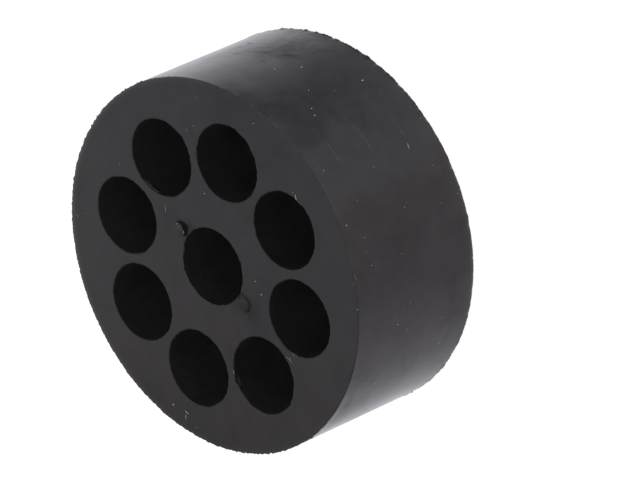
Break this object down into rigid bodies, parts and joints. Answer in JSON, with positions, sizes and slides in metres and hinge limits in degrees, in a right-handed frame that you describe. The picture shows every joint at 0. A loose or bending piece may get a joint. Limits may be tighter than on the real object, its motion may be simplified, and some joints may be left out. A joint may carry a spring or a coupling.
{
  "type": "cable gland sealing insert",
  "caption": "Thick round disc of moulded rubber with straight through holes, in a ring and at the centre, that seals around separate cables in a cable gland.",
  "frame": {"origin": "centre of the back face, on which the insert stands", "axes": "+Z along the insert's axis, from the back face to the front face with the gate marks; +X through the centre of one hole of the ring"},
  "size_m": [0.034, 0.034, 0.0149],
  "materials": {
    "rubber": "matt black moulded rubber with a soft sheen at a grazing view and a little dust"
  },
  "bodies": {
    "root": {"sealing_insert": "rubber"}
  },
  "joints": []
}
